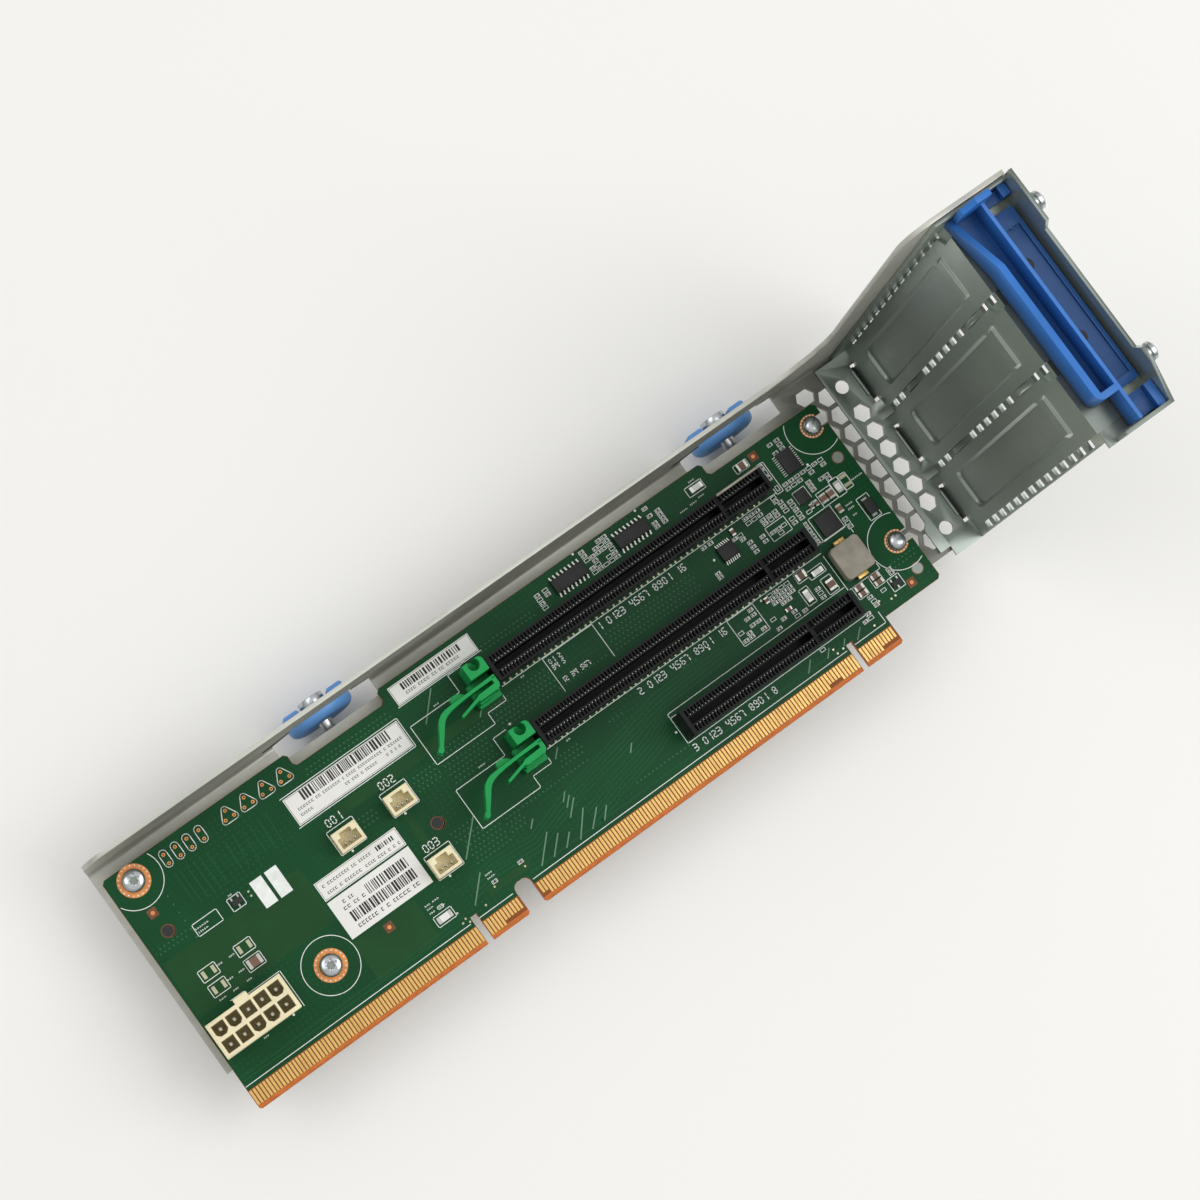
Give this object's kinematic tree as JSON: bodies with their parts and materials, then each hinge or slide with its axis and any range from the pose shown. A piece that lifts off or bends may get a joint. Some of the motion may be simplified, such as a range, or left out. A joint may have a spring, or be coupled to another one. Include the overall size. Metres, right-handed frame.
{
  "type": "server riser",
  "caption": "Server riser: green circuit board with card sockets on a folded metal cage, dark end bracket with slot covers, blue card retainer and thumb latches.",
  "frame": {"origin": "middle of the gold card edge, halfway through the board's thickness", "axes": "+X along the card edge towards the end bracket, +Y from the card edge to the top flange, +Z out of the board on its socket side"},
  "size_m": [0.2659, 0.0798, 0.1469],
  "materials": {
    "galvanised": "satin",
    "dark_steel": "satin",
    "bright_steel": "polished",
    "board_green": "satin",
    "gold": "satin",
    "socket_black": "matte",
    "clip_green": "satin",
    "ivory": "satin",
    "tin": "satin",
    "ferrite": "matte",
    "chip_black": "matte",
    "paper": "matte",
    "blue_plastic": "satin"
  },
  "bodies": {
    "root": {"cage_sheet": "galvanised", "end_bracket": "dark_steel", "slot_cover_1": "dark_steel", "slot_cover_2": "dark_steel", "slot_cover_3": "dark_steel", "guide_studs": "bright_steel", "circuit_board": "board_green", "edge_contacts": "gold", "card_socket_1": "socket_black", "card_socket_2": "socket_black", "card_socket_3": "socket_black", "card_clip_1": "clip_green", "card_clip_2": "clip_green", "power_header": "ivory", "power_pins": "tin", "aux_header_1": "ivory", "aux_header_2": "ivory", "aux_header_3": "ivory", "aux_pins": "tin", "power_inductor": "ferrite", "inductor_terminals": "tin", "driver_chips": "chip_black", "clock_chip": "chip_black", "expander_chip": "chip_black", "regulator_chip": "chip_black", "switch_chip": "chip_black", "power_diode": "chip_black", "board_screws": "bright_steel", "standoffs": "bright_steel", "board_studs": "bright_steel", "label_1": "paper", "label_2": "paper", "label_3": "paper", "label_4": "paper"},
    "retainer": {"card_retainer": "blue_plastic"},
    "latch_1": {"latch_knob_1": "blue_plastic", "latch_stud_1": "bright_steel"},
    "latch_2": {"latch_knob_2": "blue_plastic", "latch_stud_2": "bright_steel"}
  },
  "joints": [
    {"name": "retainer_hinge", "type": "hinge", "parent": "root", "child": "retainer", "pos_m": [0.15523, 0.0422, 0.1158], "axis": [0, 1, 0], "range_deg": [0, 90]},
    {"name": "latch_1_turn", "type": "hinge", "parent": "root", "child": "latch_1", "pos_m": [-0.03257, 0.07, -0.0114], "axis": [0, 1, 0], "range_deg": [0, 180]},
    {"name": "latch_2_turn", "type": "hinge", "parent": "root", "child": "latch_2", "pos_m": [0.10043, 0.07, -0.0114], "axis": [0, 1, 0], "range_deg": [0, 180]}
  ]
}
